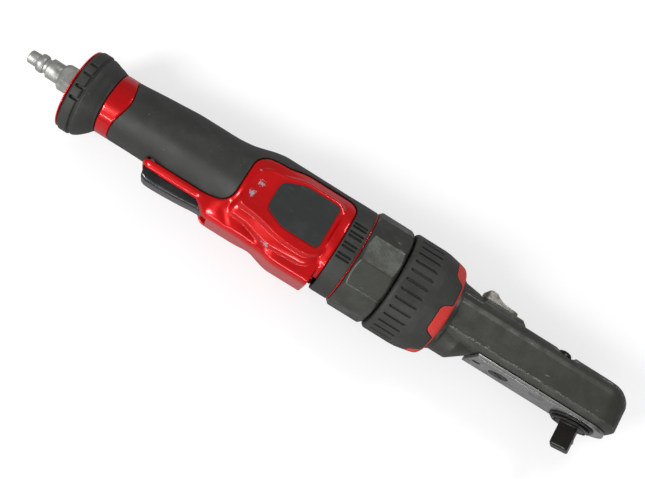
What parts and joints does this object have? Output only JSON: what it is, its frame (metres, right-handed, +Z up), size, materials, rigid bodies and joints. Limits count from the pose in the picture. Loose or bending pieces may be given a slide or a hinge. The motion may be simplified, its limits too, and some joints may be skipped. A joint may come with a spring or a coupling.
{
  "type": "air ratchet",
  "caption": "Inline air ratchet wrench: rubber-gripped handle with throttle lever and vane motor, planetary gears and crank, ribbed collar, and slim ratchet head with a square drive.",
  "frame": {"origin": "middle of the footprint on the floor, under the tool lying with its data plate up", "axes": "+X from the air plug to the ratchet head, -Y the way the square drive, throttle lever and exhaust face, +Z up out of the data plate"},
  "size_m": [0.3468, 0.0556, 0.0546],
  "materials": {
    "red_paint": "gloss",
    "rubber": "matt",
    "gloss_black": "gloss",
    "gunmetal": "satin, dark",
    "nut_steel": "satin, dark",
    "black_oxide": "black oxide",
    "bare_steel": "satin",
    "zinc": "zinc plated",
    "plate_black": "matt",
    "trim_red": "matt",
    "bronze": "satin",
    "felt": "matt",
    "vane_resin": "matt"
  },
  "bodies": {
    "tool": {"air_plug": "zinc", "inlet_bushing": "bare_steel", "inlet_screen": "bronze", "rear_boot": "rubber", "handle_housing": "red_paint", "grip_sleeve": "rubber", "lever_pin": "bare_steel", "valve_bushing": "bronze", "valve_spring": "bare_steel", "exhaust_felt": "felt", "data_plate": "plate_black", "rear_end_plate": "bare_steel", "rear_bearing": "bare_steel", "motor_liner": "bare_steel", "front_end_plate": "bare_steel", "front_bearing": "bare_steel", "ring_gear": "bare_steel", "crank_rear_bearing": "bare_steel", "crank_front_bush": "bronze", "clamp_nut": "nut_steel", "head_collar": "rubber", "collar_trim": "trim_red", "head_housing": "gunmetal", "grease_plug": "black_oxide", "anvil_cover_plate": "bare_steel", "cover_screw": "black_oxide", "cover_plug": "black_oxide", "anvil_bushing": "bare_steel", "reverse_pin": "black_oxide"},
    "throttle": {"throttle_lever": "gloss_black"},
    "valve": {"valve_stem": "bare_steel"},
    "rotor": {"rotor": "bare_steel", "vane_1": "vane_resin", "vane_2": "vane_resin", "vane_3": "vane_resin", "vane_4": "vane_resin", "vane_5": "vane_resin"},
    "crank": {"crankshaft": "bare_steel", "planet_pin_1": "black_oxide", "planet_pin_2": "black_oxide", "planet_pin_3": "black_oxide", "drive_bushing": "bronze"},
    "planet_1": {"planet_gear_1": "bare_steel"},
    "planet_2": {"planet_gear_2": "bare_steel"},
    "planet_3": {"planet_gear_3": "bare_steel"},
    "yoke": {"ratchet_yoke": "black_oxide"},
    "drive": {"anvil": "black_oxide", "pawl_pin": "bare_steel", "retaining_ring": "black_oxide"},
    "pawl": {"pawl": "bare_steel"},
    "ball": {"detent_ball": "bare_steel"},
    "reverse": {"reverse_lever": "bare_steel"}
  },
  "joints": [
    {"name": "lever_press", "type": "hinge", "parent": "tool", "child": "throttle", "pos_m": [-0.0621, -0.01907, 0.0273], "axis": [0, 0, -1], "range_deg": [0, 6], "stiffness_Nm_per_rad": 0.3},
    {"name": "valve_slide", "type": "slide", "parent": "tool", "child": "valve", "axis": [0, 1, 0], "range_m": [0, 0.0029], "deforming": ["valve_spring"]},
    {"name": "rotor_spin", "type": "hinge", "parent": "tool", "child": "rotor", "pos_m": [-0.0234, 0.00053, 0.0273], "axis": [1, 0, 0], "continuous": true},
    {"name": "crank_spin", "type": "hinge", "parent": "tool", "child": "crank", "pos_m": [0.0566, 0.00053, 0.0273], "axis": [1, 0, 0], "continuous": true},
    {"name": "planet_spin_1", "type": "hinge", "parent": "crank", "child": "planet_1", "pos_m": [0.0166, 0.01065, 0.0273], "axis": [1, 0, 0], "continuous": true},
    {"name": "planet_spin_2", "type": "hinge", "parent": "crank", "child": "planet_2", "pos_m": [0.0166, -0.00453, 0.03606], "axis": [1, 0, 0], "continuous": true},
    {"name": "planet_spin_3", "type": "hinge", "parent": "crank", "child": "planet_3", "pos_m": [0.0166, -0.00453, 0.01853], "axis": [1, 0, 0], "continuous": true},
    {"name": "yoke_swing", "type": "hinge", "parent": "tool", "child": "yoke", "pos_m": [0.1521, 0.00053, 0.0273], "axis": [0, 1, 0], "range_deg": [-2.4, 2.4]},
    {"name": "anvil_spin", "type": "hinge", "parent": "tool", "child": "drive", "pos_m": [0.1521, 0.00053, 0.0273], "axis": [0, 1, 0], "continuous": true},
    {"name": "pawl_rock", "type": "hinge", "parent": "drive", "child": "pawl", "pos_m": [0.1521, 0.00053, 0.0273], "axis": [0, 1, 0], "range_deg": [-4.1, 4.1]},
    {"name": "detent_press", "type": "slide", "parent": "drive", "child": "ball", "axis": [-0.878, 0, -0.4787], "range_m": [0, 0.0008], "stiffness_N_per_m": 600},
    {"name": "reverse_swing", "type": "hinge", "parent": "tool", "child": "reverse", "pos_m": [0.0963, 0.01853, 0.0273], "axis": [0, 1, 0], "range_deg": [-20, 20]}
  ],
  "couplings": [
    {"joint": "valve_slide", "follows": "lever_press", "m_per_rad": 0.027},
    {"joint": "crank_spin", "follows": "rotor_spin", "ratio": 0.22222},
    {"joint": "planet_spin_1", "follows": "rotor_spin", "ratio": -0.62222},
    {"joint": "planet_spin_2", "follows": "rotor_spin", "ratio": -0.62222},
    {"joint": "planet_spin_3", "follows": "rotor_spin", "ratio": -0.62222},
    {"joint": "pawl_rock", "follows": "reverse_swing", "ratio": 0.2}
  ]
}
